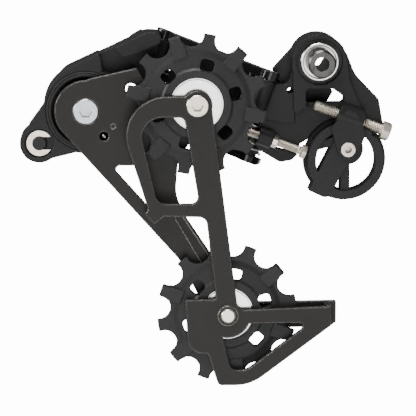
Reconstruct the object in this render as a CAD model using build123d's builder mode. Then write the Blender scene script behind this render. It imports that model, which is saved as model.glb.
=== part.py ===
"""Rear bicycle derailleur, as an assembly of separate pieces.

Millimetres, +Z up. The origin is where the hanger bolt's axis meets the hanger's face.
+X points to the rear of the bicycle and +Y away from the wheel (outboard), so the chain,
the cage and the pulleys hang on the inboard side, at negative y.
"""
import os
from math import atan2, cos, degrees, hypot, pi, radians, sin

from build123d import *

os.makedirs("parts", exist_ok=True)

# ---------------------------------------------------------------- driving dimensions
RUNNING = 0.05  # radial clearance of a turning or sliding fit
GAP = 0.3  # clearance between pieces that pass each other

# chain and pulleys
CHAIN_PITCH = 12.7
TEETH = 12
TOOTH_TIP_R = 25.3
ROOT_ARC_R = 4.4
NARROW_TOOTH = 2.0
WIDE_TOOTH = 3.8
HUB_RING_R = 12.2
HUB_RING_WIDTH = 5.6
WINDOW_CIRCLE_R = 14.3
BEARING_OUTER_R = 9.5
BEARING_BORE_R = 4.0
BEARING_WIDTH = 3.6
BALL_R = 1.1
BALLS = 11
DUST_CAP_R = 8.9
DUST_CAP_WALL = 0.55
AXLE_R = 2.5

# cage
INNER_PLATE_WALL = 1.8
OUTER_PLATE_WALL = 2.0
CAGE_GAP = 8.4  # clear width between the two plates, where the chain runs
CAGE_OUTBOARD_Y = -4.8  # outboard face of the outer plate
UPPER_AXLE = (-45.1, -13.7)
LOWER_AXLE = (-34.2, -89.5)
CAGE_PIVOT = (-84.6, -16.7)
SPRING_HOLE = (-78.1, -25.6)
PIVOT_SHAFT_R = 5.0
PIVOT_BOLT_R = 3.0
PIVOT_HEAD_R = 4.5

# P-knuckle (the lower, moving knuckle) and its clutch
HOUSING_R = 15.3
CHAMBER_R = 12.3
HOUSING_OUTBOARD_Y = 14.0
MID_WALL = (4.0, 7.0)  # wall between the spring chamber and the clutch chamber
COVER_OUTBOARD_Y = 20.5
COVER_WALL = 1.8
DRUM_R = 8.0
BAND_WALL = 1.6
LOCK_PIN = (-101.3, -28.3)
LOCK_BOSS_R = 7.0
LOCK_PIN_R = 2.6
LOCK_HEAD_R = 4.6

# hanger mount and B-knuckle (the upper knuckle, on the hanger)
BOLT_R = 5.0
BOLT_SHANK_R = 4.8
BOLT_THREAD_LENGTH = 9.0
BOLT_BORE_R = 2.55
SLEEVE_R = 6.9
BUSH_WALL = 1.3
BOSS_R = 10.0
BOSS_OUTBOARD_Y = 16.3
BOLT_HEAD_R = 8.4
BOLT_HEAD_HEIGHT = 4.2

# link parallelogram
LINK_TILT = 20.5  # degrees between the link pins and the vertical
LINK_ANGLE = 18.0  # degrees that the links lean outboard at rest
LINK_LENGTH = 42.0
PIN_R = 2.0
PIN_BUSH_WALL = 0.7
EYE_R = 3.3
LINK_HALF = 1.9  # half of a link plate's thickness
OUTER_FRONT_OVER = 4.6  # how far the outer link's ends run past its pins
OUTER_REAR_OVER = 5.4
FORK_DEPTH = 7.0  # from a pin's axis to the plate between the fork's ears
INNER_B_PIN = (-15.2, 2.0)  # (rearward, outboard) in the slanted frame of the pins
OUTER_B_PIN = (-11.2, 16.0)
KNUCKLE_EYE = (-23.6, -12.7)  # lowest and highest end of a knuckle's inner pin eye
INNER_EAR = 3.2
OUTER_LINK_SPAN = (-44.6, -11.0)
OUTER_EAR = 2.8

# cable clamp, on the inner link
CLAMP_PAD_R = 5.0
CLAMP_BOLT_R = 2.5
CLAMP_BOLT_REACH = 3.6  # how far the bolt goes in from the clamp's seat
CLAMP_WASHER_WALL = 0.9
CLAMP_HEAD_R = 4.0
CLAMP_HEAD_HEIGHT = 1.8
CLAMP_KEY = 4.0
CLAMP_SOCKET_DEPTH = 2.4

# adjusting screws and cable guide
B_SCREW_R = 2.0
B_SCREW_AXIS = (-1.0, -15.1)  # (outboard, up) in the slanted frame
B_SCREW_ENDS = (3.6, 29.5)
B_SCREW_HEAD_R = 3.4
B_SCREW_TRAVEL = 2.5
B_BOSS_ENDS = (12.4, 22.1)
B_BOSS_R = 4.5
LIMIT_SCREW_R = 1.5
LIMIT_SCREW_YS = (0.0, 6.4)
LIMIT_SCREW_U = -32.5
LIMIT_SCREW_START = -15.5
LIMIT_SCREW_HEADS = (5.0, 2.2)  # where each screw's head starts
LIMIT_HEAD_R = 2.5
LIMIT_HEAD_HEIGHT = 2.2
LIMIT_TRAVEL = 1.0
LIMIT_BLOCK_ENDS = (-11.5, -6.4)
GUIDE_CENTRE = (9.4, -35.6)
GUIDE_FACES = (-3.1, 4.5)
GUIDE_FLANGE = 1.6
GUIDE_HUB_R = 5.7
GUIDE_NEAR_R = 13.9
GUIDE_FAR_R = 15.1
GUIDE_GROOVE_R = 12.4
GUIDE_RIM_INNER_R = 10.9
GUIDE_RIVET = (9.9, -31.2)
RIVET_R = 1.9
CABLE_HOLE_R = 0.9
CABLE_HOLE_DEPTH = 6.0

# ---------------------------------------------------------------- places and planes
CAGE_OUTER_FACE = CAGE_OUTBOARD_Y - OUTER_PLATE_WALL  # the outer plate's inboard face
INNER_PLATE_BACK = CAGE_OUTER_FACE - CAGE_GAP  # the inner plate's outboard face
INNER_PLATE_FACE = INNER_PLATE_BACK - INNER_PLATE_WALL
PULLEY_Y = (CAGE_OUTER_FACE + INNER_PLATE_BACK) / 2
KNUCKLE_FACE = CAGE_OUTBOARD_Y + GAP  # inboard face of the P-knuckle
PITCH_R = CHAIN_PITCH / (2 * sin(pi / TEETH))

REARWARD = Vector(cos(radians(LINK_TILT)), 0, -sin(radians(LINK_TILT)))
OUTBOARD = Vector(0, 1, 0)
PIN_AXIS = Vector(sin(radians(LINK_TILT)), 0, cos(radians(LINK_TILT)))
LINK_DIRECTION = OUTBOARD * sin(radians(LINK_ANGLE)) - REARWARD * cos(radians(LINK_ANGLE))
LINK_NORMAL = OUTBOARD * cos(radians(LINK_ANGLE)) + REARWARD * sin(radians(LINK_ANGLE))
LINK_REACH = (-LINK_LENGTH * cos(radians(LINK_ANGLE)), LINK_LENGTH * sin(radians(LINK_ANGLE)))
INNER_P_PIN = (INNER_B_PIN[0] + LINK_REACH[0], INNER_B_PIN[1] + LINK_REACH[1])
OUTER_P_PIN = (OUTER_B_PIN[0] + LINK_REACH[0], OUTER_B_PIN[1] + LINK_REACH[1])
P_INNER_SEAT = (-55.1444, 14.9787)  # the P-knuckle's inner pin, where its pieces are drawn
P_OUTER_SEAT = (
    P_INNER_SEAT[0] + OUTER_B_PIN[0] - INNER_B_PIN[0], P_INNER_SEAT[1] + OUTER_B_PIN[1] - INNER_B_PIN[1]
)
INNER_LINK_SPAN = (KNUCKLE_EYE[0] - GAP - INNER_EAR, KNUCKLE_EYE[1] + GAP + INNER_EAR)
OUTER_P_EYE = (KNUCKLE_EYE[0], OUTER_LINK_SPAN[1] - OUTER_EAR - GAP)
OUTER_B_EYE = (OUTER_LINK_SPAN[0] + OUTER_EAR + GAP, OUTER_P_EYE[1])
OUTER_P_LOW = OUTER_P_EYE[0] - GAP - OUTER_EAR


def across(y):
    """The plane across the bicycle at depth y: its x is X, its y is Z, and it faces inboard."""
    return Plane.XZ.offset(-y)


def slanted(rearward, outboard, up):
    """A point given in the slanted frame of the link pins."""
    return REARWARD * rearward + OUTBOARD * outboard + PIN_AXIS * up


def square_to_pins(up):
    """The plane square to the link pins at height up: its x is rearward and its y outboard."""
    return Plane(origin=slanted(0, 0, up), x_dir=REARWARD, z_dir=PIN_AXIS)


def square_to_screws(rearward, outboard, up):
    """The plane square to the adjusting screws: its x is outboard, its y up the pins."""
    return Plane(origin=slanted(rearward, outboard, up), x_dir=OUTBOARD, z_dir=REARWARD)


def along_link(pin):
    """The plane along a link through its B-knuckle pin: its x is forward, its y up the pin."""
    return Plane(origin=slanted(*pin, 0), x_dir=LINK_DIRECTION, z_dir=LINK_NORMAL)


def polar(centre, radius, angle):
    """The point at a radius and an angle in degrees round a centre."""
    return (centre[0] + radius * cos(radians(angle)), centre[1] + radius * sin(radians(angle)))


def save(piece, name):
    """Name a finished piece and write its STEP file."""
    piece.part.label = name
    export_step(piece.part, f"parts/{name}.step")


def save_on_links(piece, name):
    """Save a piece that the links carry, moved from where it is drawn to the links' far end."""
    away = [pin - seat for pin, seat in zip(INNER_P_PIN, P_INNER_SEAT)]
    piece.part = Pos(*slanted(*away, 0)) * piece.part
    save(piece, name)


def ring_between(outboard_y, inboard_y, outer_r, inner_r, centre=(0, 0)):
    """Add a ring, or a disc where inner_r is 0, between two depths to the current part."""
    with BuildSketch(across(outboard_y)) as outline:
        with Locations(centre):
            Circle(outer_r)
            if inner_r:
                Circle(inner_r, mode=Mode.SUBTRACT)
    extrude(outline.sketch, amount=outboard_y - inboard_y)


def bore(outboard_y, inboard_y, radius, centre=(0, 0)):
    """Cut a round hole between two depths in the current part."""
    with BuildSketch(across(outboard_y)) as outline:
        with Locations(centre):
            Circle(radius)
    extrude(outline.sketch, amount=outboard_y - inboard_y, mode=Mode.SUBTRACT)


def hex_socket(face_y, depth, across_flats, centre=(0, 0), outboard=False):
    """Cut a hexagonal key socket into a bolt head's face."""
    with BuildSketch(across(face_y)) as outline:
        with Locations(centre):
            RegularPolygon(across_flats / 2, 6, major_radius=False)
    extrude(outline.sketch, amount=depth if outboard else -depth, mode=Mode.SUBTRACT)


def plate(outboard_y, inboard_y, corners, radii):
    """Add a flat plate with rounded corners between two depths to the current part."""
    with BuildSketch(across(outboard_y)) as outline:
        with BuildLine():
            FilletPolyline(*corners, radius=radii, close=True)
        make_face()
    extrude(outline.sketch, amount=outboard_y - inboard_y)


def cut_plate(outboard_y, inboard_y, corners, radii):
    """Cut a window with rounded corners between two depths in the current part."""
    with BuildSketch(across(outboard_y)) as outline:
        with BuildLine():
            FilletPolyline(*corners, radius=radii, close=True)
        make_face()
    extrude(outline.sketch, amount=outboard_y - inboard_y, mode=Mode.SUBTRACT)


def ear_rooms(span, ear):
    """The heights that a knuckle leaves free for a link's lower and upper ear."""
    return ((span[0] - GAP, span[0] + ear + GAP), (span[1] - ear - GAP, span[1] + GAP))


def pin_eye(pin, low, high, radius):
    """Add a round eye along a link pin to the current part."""
    with BuildSketch(square_to_pins(low)) as outline:
        with Locations(pin):
            Circle(radius)
    extrude(outline.sketch, amount=high - low)


def pin_bore(pin, low, high, radius):
    """Cut a link pin's hole in the current part."""
    with BuildSketch(square_to_pins(low)) as outline:
        with Locations(pin):
            Circle(radius)
    extrude(outline.sketch, amount=high - low, mode=Mode.SUBTRACT)


# ---------------------------------------------------------------- hanger bolt and sleeve
SLEEVE_OUTBOARD_Y = BOSS_OUTBOARD_Y + GAP
MOUTH_R = SLEEVE_R - 1.0

with BuildPart() as hanger_bolt:
    ring_between(SLEEVE_OUTBOARD_Y, 0, BOLT_SHANK_R, 0)
    ring_between(0, -BOLT_THREAD_LENGTH, BOLT_R, 0)
    chamfer(hanger_bolt.faces().sort_by(Axis.Y)[0].edges(), 0.6)
    ring_between(SLEEVE_OUTBOARD_Y + BOLT_HEAD_HEIGHT, SLEEVE_OUTBOARD_Y, BOLT_HEAD_R, 0)
    fillet(hanger_bolt.faces().sort_by(Axis.Y)[-1].edges(), 0.9)
    hex_socket(SLEEVE_OUTBOARD_Y + BOLT_HEAD_HEIGHT, 6.0, 5.0 + 1.0, outboard=True)
    bore(SLEEVE_OUTBOARD_Y + BOLT_HEAD_HEIGHT, -BOLT_THREAD_LENGTH, BOLT_BORE_R)
save(hanger_bolt, "hanger_bolt")

with BuildPart() as mount_sleeve:
    ring_between(SLEEVE_OUTBOARD_Y, 0, SLEEVE_R, BOLT_SHANK_R + RUNNING)
    bore(1.4, 0, MOUTH_R)
    chamfer(mount_sleeve.faces().sort_by(Axis.Y)[0].edges(), 0.25)
save(mount_sleeve, "mount_sleeve")

# ---------------------------------------------------------------- B-knuckle
BUSH_R = SLEEVE_R + RUNNING + BUSH_WALL
BUSH_ENDS = (2.0, BOSS_OUTBOARD_Y - 1.3)

with BuildPart() as mount_bush:
    ring_between(BUSH_ENDS[1], BUSH_ENDS[0], BUSH_R, SLEEVE_R + RUNNING)
save(mount_bush, "mount_bush")

B_SCREW_BOSS = slanted(sum(B_BOSS_ENDS) / 2, *B_SCREW_AXIS)
EAR_FACES = (GUIDE_FACES[0] - GAP, GUIDE_FACES[0] - GAP - 2.0)
REAR_EAR_FACES = (GUIDE_FACES[1] + GAP + 2.0, GUIDE_FACES[1] + GAP)
WINDOW = [(-5.0, -9.6), (4.6, -9.6), (9.0, -12.6), (9.0, -14.8), (-5.0, -14.8)]


def guide_ear(faces):
    """Add an ear for the guide's rivet, hung from the B-screw's boss."""
    with BuildSketch(across(faces[0])) as outline:
        with Locations(GUIDE_RIVET):
            Circle(3.9)
        with Locations((5.4, -23.6), (14.6, -25.6)):
            Circle(1.6)
        with Locations((B_SCREW_BOSS.X, B_SCREW_BOSS.Z)):
            Circle(3.0)
        make_hull()
    extrude(outline.sketch, amount=faces[0] - faces[1])


with BuildPart() as b_knuckle:
    ring_between(BOSS_OUTBOARD_Y, GAP, BOSS_R, 0)
    # frame under the boss: a column at the front and a strut at the rear
    plate(
        7.0,
        GAP,
        [(-10.0, 0.5), (-9.4, -17.4), (-8.2, -18.8), (-5.6, -16.6), (11.0, -16.6), (13.0, -21.0),
         (17.6, -21.0), (13.9, -13.8), (10.9, -6.5), (9.9, 1.0)],
        [0, 0.4, 0.4, 1.0, 1.5, 1.0, 0.5, 6.0, 3.0, 0],
    )
    # rear wing, set back behind the strut
    plate(
        9.5,
        3.0,
        [(6.0, 8.0), (10.2, 2.6), (13.0, -4.6), (21.9, -13.8), (23.8, -24.6), (18.6, -24.6), (9.0, -8.0)],
        [0, 4.0, 12.0, 3.0, 1.4, 1.0, 0],
    )
    # front wing, set back, that carries the outer pin
    plate(
        12.5,
        8.0,
        [(-7.0, 7.1), (-16.6, -3.4), (-13.6, -8.6), (-8.0, -16.0), (-3.0, -4.0)],
        [0, 1.2, 1.5, 1.0, 0],
    )
    # side plate out to the inner pin's eye
    plate(
        6.0,
        1.4,
        [(-8.5, -1.0), (-12.0, -8.4), (-18.2, -7.4), (-23.4, -20.6), (-9.0, -22.5)],
        [0, 2.0, 0, 0, 0],
    )
    # lower body, which carries both limit screws
    plate(
        11.0,
        2.2,
        [(-18.0, -14.0), (-4.0, -15.4), (11.0, -15.4), (13.4, -20.4), (2.0, -24.5), (-8.0, -30.6),
         (-14.0, -31.0), (-21.8, -24.4)],
        [2.0, 0, 0, 0, 5.0, 3.0, 2.0, 2.0],
    )
    cut_plate(BOSS_OUTBOARD_Y, GAP, WINDOW, [1.4, 1.0, 1.0, 1.4, 1.0])
    for low, high in ear_rooms(INNER_LINK_SPAN, INNER_EAR):
        pin_bore(INNER_B_PIN, low, high, EYE_R + GAP)
    for low, high in ear_rooms(OUTER_LINK_SPAN, OUTER_EAR):
        pin_bore(OUTER_B_PIN, low, high, hypot(OUTER_REAR_OVER, LINK_HALF) + GAP)
    # web between the two pins' eyes
    with BuildSketch(square_to_pins(KNUCKLE_EYE[0])):
        with BuildLine():
            Polyline((-14.6, 2.0), (-13.4, 8.0), (-12.8, 16.0), (-6.6, 16.0), (-5.6, 2.0), close=True)
        make_face()
    extrude(amount=OUTER_B_EYE[1] - GAP - KNUCKLE_EYE[0])
    pin_eye(INNER_B_PIN, *KNUCKLE_EYE, EYE_R)
    pin_eye(OUTER_B_PIN, *OUTER_B_EYE, EYE_R)
    # tab seen through the window
    plate(
        12.0,
        10.0,
        [(-4.4, -9.9), (4.8, -9.9), (5.8, -11.8), (3.2, -16.2), (-4.4, -16.2)],
        [1, 1, 0.6, 1, 1],
    )
    # limit screw block and the curved arm under it
    with BuildSketch(square_to_screws(LIMIT_BLOCK_ENDS[0], sum(LIMIT_SCREW_YS) / 2, LIMIT_SCREW_U)):
        RectangleRounded(LIMIT_SCREW_YS[1] - LIMIT_SCREW_YS[0] + 6.4, 6.4, 2.4)
    extrude(amount=LIMIT_BLOCK_ENDS[1] - LIMIT_BLOCK_ENDS[0])
    plate(
        8.4,
        4.4,
        [(-25.4, -24.2), (-25.4, -28.4), (-20.6, -33.0), (-14.0, -37.0), (-9.6, -36.2), (-6.0, -32.6),
         (-8.4, -29.6), (-12.0, -32.6), (-18.6, -30.6), (-21.4, -24.6)],
        [0.6, 2.0, 4.0, 3.0, 2.0, 0.6, 0.6, 1.5, 2.0, 0.6],
    )
    with Locations(Plane(origin=slanted(B_BOSS_ENDS[0], *B_SCREW_AXIS), x_dir=OUTBOARD, z_dir=REARWARD)):
        Cylinder(B_BOSS_R, B_BOSS_ENDS[1] - B_BOSS_ENDS[0], align=(Align.CENTER, Align.CENTER, Align.MIN))
    # room for the cable guide, between its two ears
    bore(GUIDE_FACES[1] + GAP, GUIDE_FACES[0] - GAP, GUIDE_FAR_R + GAP, GUIDE_CENTRE)
    guide_ear(EAR_FACES)
    guide_ear(REAR_EAR_FACES)
    bore(REAR_EAR_FACES[0], EAR_FACES[1], RIVET_R, GUIDE_RIVET)
    # bores for the bush and the sleeve
    bore(BUSH_ENDS[1], GAP, BUSH_R)
    bore(BOSS_OUTBOARD_Y, GAP, SLEEVE_R + 2 * RUNNING)
    bore(BOSS_OUTBOARD_Y, 0, 1.1, (-10.6, -10.4))
    pin_bore(INNER_B_PIN, *INNER_LINK_SPAN, PIN_R)
    pin_bore(OUTER_B_PIN, *OUTER_LINK_SPAN, PIN_R)
    with BuildSketch(square_to_screws(B_SCREW_ENDS[0] - B_SCREW_TRAVEL - GAP, *B_SCREW_AXIS)):
        Circle(B_SCREW_R + RUNNING)
    extrude(amount=B_SCREW_ENDS[1] - B_SCREW_ENDS[0], mode=Mode.SUBTRACT)
    for screw_y, head in zip(LIMIT_SCREW_YS, LIMIT_SCREW_HEADS):
        with BuildSketch(square_to_screws(LIMIT_SCREW_START - LIMIT_TRAVEL - GAP, screw_y, LIMIT_SCREW_U)):
            Circle(LIMIT_SCREW_R + RUNNING)
        extrude(amount=head - LIMIT_SCREW_START, mode=Mode.SUBTRACT)
        with BuildSketch(square_to_screws(head - LIMIT_TRAVEL - GAP, screw_y, LIMIT_SCREW_U)):
            Circle(LIMIT_HEAD_R + GAP)
        extrude(amount=LIMIT_HEAD_HEIGHT + 2 * (LIMIT_TRAVEL + GAP), mode=Mode.SUBTRACT)
save(b_knuckle, "b_knuckle")


def adjusting_screw(start, end, outboard, up, radius, head_r, head_height, key):
    """A headed screw along the slanted frame's rearward axis; its head is at the rear."""
    with BuildPart() as screw:
        with BuildSketch(square_to_screws(start, outboard, up)):
            Circle(radius)
        extrude(amount=end - start)
        with BuildSketch(square_to_screws(end, outboard, up)):
            Circle(head_r)
        extrude(amount=head_height)
        with BuildSketch(square_to_screws(end + head_height, outboard, up)):
            RegularPolygon(key / 2, 6, major_radius=False)
        extrude(amount=-head_height * 0.7, mode=Mode.SUBTRACT)
    return screw


b_screw = adjusting_screw(*B_SCREW_ENDS, *B_SCREW_AXIS, B_SCREW_R, B_SCREW_HEAD_R, 3.2, 3.0)
save(b_screw, "b_screw")
for screw_name, screw_y, head in zip(
    ("high_limit_screw", "low_limit_screw"), LIMIT_SCREW_YS, LIMIT_SCREW_HEADS
):
    limit_screw = adjusting_screw(
        LIMIT_SCREW_START, head, screw_y, LIMIT_SCREW_U, LIMIT_SCREW_R, LIMIT_HEAD_R, LIMIT_HEAD_HEIGHT, 2.0
    )
    save(limit_screw, screw_name)

# ---------------------------------------------------------------- cable guide
TAIL = ((-2.6, -43.4), (-4.0, -46.4), (3.4, -49.9))  # the tail's square end and its lower edge
TAIL_MIDDLE = Vector((TAIL[0][0] + TAIL[1][0]) / 2, sum(GUIDE_FACES) / 2, (TAIL[0][1] + TAIL[1][1]) / 2)

with BuildPart() as cable_guide:
    # rim: two flanges with the cable's groove between them
    groove = (GUIDE_FACES[0] + GUIDE_FLANGE, GUIDE_FACES[1] - GUIDE_FLANGE)
    ring_between(GUIDE_FACES[1], groove[1], GUIDE_FAR_R, GUIDE_RIM_INNER_R, GUIDE_CENTRE)
    ring_between(groove[1], groove[0], GUIDE_GROOVE_R, GUIDE_RIM_INNER_R, GUIDE_CENTRE)
    ring_between(groove[0], GUIDE_FACES[0], GUIDE_NEAR_R, GUIDE_RIM_INNER_R, GUIDE_CENTRE)
    ring_between(*GUIDE_FACES[::-1], GUIDE_HUB_R, 0, GUIDE_RIVET)
    # broad front arm, whose tail takes in the cable
    plate(
        *GUIDE_FACES[::-1],
        [(5.6, -27.4), *TAIL, (6.6, -42.6), (10.4, -36.4)],
        [2.0, 0.2, 0.2, 3.0, 2.0, 1.0],
    )
    # lower spoke and short front spoke
    for spoke in (
        [(7.8, -35.0), (7.4, -47.4), (11.0, -47.4), (10.8, -35.0)],
        [(5.0, -26.8), (-3.0, -29.8), (-3.4, -32.4), (5.0, -30.2)],
    ):
        plate(GUIDE_FACES[1], GUIDE_FACES[0] + 1.2, spoke, 0)
    bore(*GUIDE_FACES[::-1], RIVET_R, GUIDE_RIVET)
    # relief under the B-screw and its head
    head_start = B_SCREW_ENDS[1] - B_SCREW_TRAVEL - GAP
    for start, relief_r in ((B_SCREW_ENDS[0], B_SCREW_R + GAP), (head_start, B_SCREW_HEAD_R + GAP)):
        with BuildSketch(square_to_screws(start, *B_SCREW_AXIS)):
            Circle(relief_r)
        extrude(amount=B_SCREW_ENDS[1] - B_SCREW_ENDS[0], mode=Mode.SUBTRACT)
    # room for the limit screws' heads at both ends of their travel
    for screw_y, head in zip(LIMIT_SCREW_YS, LIMIT_SCREW_HEADS):
        with BuildSketch(square_to_screws(head - LIMIT_TRAVEL - GAP, screw_y, LIMIT_SCREW_U)):
            Circle(LIMIT_HEAD_R + GAP)
        extrude(amount=LIMIT_HEAD_HEIGHT + 2 * (LIMIT_TRAVEL + GAP), mode=Mode.SUBTRACT)
    # the cable's hole runs level into the tail's square end
    with BuildSketch(Plane(origin=TAIL_MIDDLE - Vector(CABLE_HOLE_R, 0, 0), x_dir=OUTBOARD, z_dir=(1, 0, 0))):
        Circle(CABLE_HOLE_R)
    extrude(amount=CABLE_HOLE_R + CABLE_HOLE_DEPTH, mode=Mode.SUBTRACT)
save(cable_guide, "cable_guide")

with BuildPart() as guide_rivet:
    ring_between(REAR_EAR_FACES[0], EAR_FACES[1], RIVET_R, 0, GUIDE_RIVET)
    ring_between(EAR_FACES[1], EAR_FACES[1] - 0.7, 2.6, 0, GUIDE_RIVET)
    ring_between(REAR_EAR_FACES[0] + 0.7, REAR_EAR_FACES[0], 2.6, 0, GUIDE_RIVET)
    bore(EAR_FACES[1] + 3.0, EAR_FACES[1] - 0.7, 1.3, GUIDE_RIVET)
save(guide_rivet, "guide_rivet")

# ---------------------------------------------------------------- links
BUSH_OUTER_R = PIN_R + RUNNING + PIN_BUSH_WALL


def link_plate(pin, low_front, high, ear, low_rear, front_over, rear_over):
    """A link: a plate between two forks whose ears, one above and one below, hold the pins.

    Along the link, 0 is the B-knuckle's pin and LINK_LENGTH the P-knuckle's. The plate's lower
    edge runs from low_rear at the B end to low_front at the P end.
    """
    ears = ((0, low_rear, rear_over), (LINK_LENGTH, low_front, front_over))
    with BuildPart() as link:
        with BuildSketch(along_link(pin).offset(-LINK_HALF)):
            with BuildLine():
                Polyline(
                    (-rear_over, high),
                    (LINK_LENGTH + front_over, high),
                    (LINK_LENGTH + front_over, low_front),
                    (LINK_LENGTH - FORK_DEPTH, low_front),
                    (FORK_DEPTH, low_rear),
                    (-rear_over, low_rear),
                    close=True,
                )
            make_face()
        extrude(amount=2 * LINK_HALF)
        fillet(link.edges().filter_by(lambda edge: abs(edge.tangent_at(0.5).dot(LINK_NORMAL)) > 0.9), 1.2)
        for place, low, overhang in ears:
            # the open mouth of the fork, and the round ears in it
            inward = 1 if place == 0 else -1
            with BuildSketch(along_link(pin).offset(-4 * LINK_HALF)):
                with Locations((place - inward * (overhang + 2 - FORK_DEPTH) / 2, (low + high) / 2)):
                    Rectangle(FORK_DEPTH + overhang + 2, high - low - 2 * ear)
            extrude(amount=8 * LINK_HALF, mode=Mode.SUBTRACT)
            eye = slanted(*pin, 0) + LINK_DIRECTION * place
            for bottom in (low, high - ear):
                ear_base = Plane(origin=eye + PIN_AXIS * bottom, x_dir=LINK_DIRECTION, z_dir=PIN_AXIS)
                with BuildSketch(ear_base):
                    Circle(EYE_R)
                    with Locations((inward * FORK_DEPTH / 2, 0)):
                        Rectangle(FORK_DEPTH, 2 * LINK_HALF)
                extrude(amount=ear)
                with BuildSketch(ear_base):
                    Circle(BUSH_OUTER_R)
                extrude(amount=ear, mode=Mode.SUBTRACT)
    return link


def link_bushes(pin, lows, high, ear):
    """The four plain bushes pressed in a link's ears, as one group."""
    with BuildPart() as bushes:
        for place, low in zip((0, LINK_LENGTH), lows):
            eye = slanted(*pin, 0) + LINK_DIRECTION * place
            for bottom in (low, high - ear):
                ear_base = Plane(origin=eye + PIN_AXIS * bottom, x_dir=LINK_DIRECTION, z_dir=PIN_AXIS)
                with BuildSketch(ear_base):
                    Circle(BUSH_OUTER_R)
                    Circle(PIN_R + RUNNING, mode=Mode.SUBTRACT)
                extrude(amount=ear)
    return bushes


def link_pin(pin, low, high):
    """A plain pin with chamfered ends, pressed in its knuckle's eye."""
    with BuildPart() as rod:
        with BuildSketch(square_to_pins(low)):
            with Locations(pin):
                Circle(PIN_R)
        extrude(amount=high - low)
        chamfer(rod.edges().filter_by(GeomType.CIRCLE), 0.3)
    return rod


CLAMP_PLACE = (LINK_LENGTH * 0.45, sum(INNER_LINK_SPAN) / 2)
CLAMP_PAD = 0.8
CLAMP_SEAT = along_link(INNER_B_PIN).offset(LINK_HALF + CLAMP_PAD)

plain_link = link_plate(
    INNER_B_PIN, INNER_LINK_SPAN[0], INNER_LINK_SPAN[1], INNER_EAR, INNER_LINK_SPAN[0], 2.4, 2.4
)
with BuildPart() as inner_link:
    add(plain_link.part)
    # pad and thread for the cable clamp, on the outboard face
    with BuildSketch(CLAMP_SEAT):
        with Locations(CLAMP_PLACE):
            Circle(CLAMP_PAD_R)
    extrude(amount=-CLAMP_PAD)
    with BuildSketch(CLAMP_SEAT):
        with Locations(CLAMP_PLACE):
            Circle(CLAMP_BOLT_R)
    extrude(amount=-CLAMP_PAD - 2 * LINK_HALF, mode=Mode.SUBTRACT)
save(inner_link, "inner_link")
outer_link = link_plate(
    OUTER_B_PIN, OUTER_P_LOW, OUTER_LINK_SPAN[1], OUTER_EAR, OUTER_LINK_SPAN[0],
    OUTER_FRONT_OVER, OUTER_REAR_OVER,
)
save(outer_link, "outer_link")
inner_bushes = link_bushes(INNER_B_PIN, [INNER_LINK_SPAN[0]] * 2, INNER_LINK_SPAN[1], INNER_EAR)
save(inner_bushes, "inner_link_bushes")
outer_bushes = link_bushes(OUTER_B_PIN, [OUTER_LINK_SPAN[0], OUTER_P_LOW], OUTER_LINK_SPAN[1], OUTER_EAR)
save(outer_bushes, "outer_link_bushes")
save(link_pin(INNER_B_PIN, *INNER_LINK_SPAN), "b_inner_pin")
save(link_pin(OUTER_B_PIN, *OUTER_LINK_SPAN), "b_outer_pin")
save(link_pin(INNER_P_PIN, *INNER_LINK_SPAN), "p_inner_pin")
save(link_pin(OUTER_P_PIN, OUTER_P_LOW, OUTER_LINK_SPAN[1]), "p_outer_pin")

with BuildPart() as cable_clamp_washer:
    with BuildSketch(CLAMP_SEAT):
        with Locations(CLAMP_PLACE):
            Circle(CLAMP_PAD_R - GAP)
            Circle(CLAMP_BOLT_R + RUNNING, mode=Mode.SUBTRACT)
    extrude(amount=CLAMP_WASHER_WALL)
save(cable_clamp_washer, "cable_clamp_washer")
with BuildPart() as cable_clamp_bolt:
    with BuildSketch(CLAMP_SEAT.offset(-CLAMP_BOLT_REACH)):
        with Locations(CLAMP_PLACE):
            Circle(CLAMP_BOLT_R)
    extrude(amount=CLAMP_BOLT_REACH + CLAMP_WASHER_WALL)
    with BuildSketch(CLAMP_SEAT.offset(CLAMP_WASHER_WALL)):
        with Locations(CLAMP_PLACE):
            Circle(CLAMP_HEAD_R)
    extrude(amount=CLAMP_HEAD_HEIGHT)
    fillet(cable_clamp_bolt.faces().filter_by(GeomType.PLANE).sort_by(Axis.Y)[-1].edges(), 0.4)
    with BuildSketch(CLAMP_SEAT.offset(CLAMP_WASHER_WALL + CLAMP_HEAD_HEIGHT)):
        with Locations(CLAMP_PLACE):
            RegularPolygon(CLAMP_KEY / 2, 6, major_radius=False)
    extrude(amount=-CLAMP_SOCKET_DEPTH, mode=Mode.SUBTRACT)
save(cable_clamp_bolt, "cable_clamp_bolt")

# ---------------------------------------------------------------- P-knuckle
COUNTERBORE_R = 5.2
COUNTERBORE_DEPTH = 1.2
CLIP_WALL = 0.8
LOCK_BOSS_BACK = 4.0
SEAL_R = (CHAMBER_R + HOUSING_R) / 2
SEAL_WIRE_R = 0.5
SPRING_MEAN_R = 9.0
SPRING_WIRE_R = 0.85
STOP_RADIUS = 11.1
STOP_PIN_R = 0.9
STOP_ANGLE = degrees(atan2(SPRING_HOLE[1] - CAGE_PIVOT[1], SPRING_HOLE[0] - CAGE_PIVOT[0])) + 25.0
SHAFT_BOSS_R = 6.6
ARM_TOP = ((-75.7, 5.1), (-62.6, 11.3))  # the straight top of the arm that reaches the link pins

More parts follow.
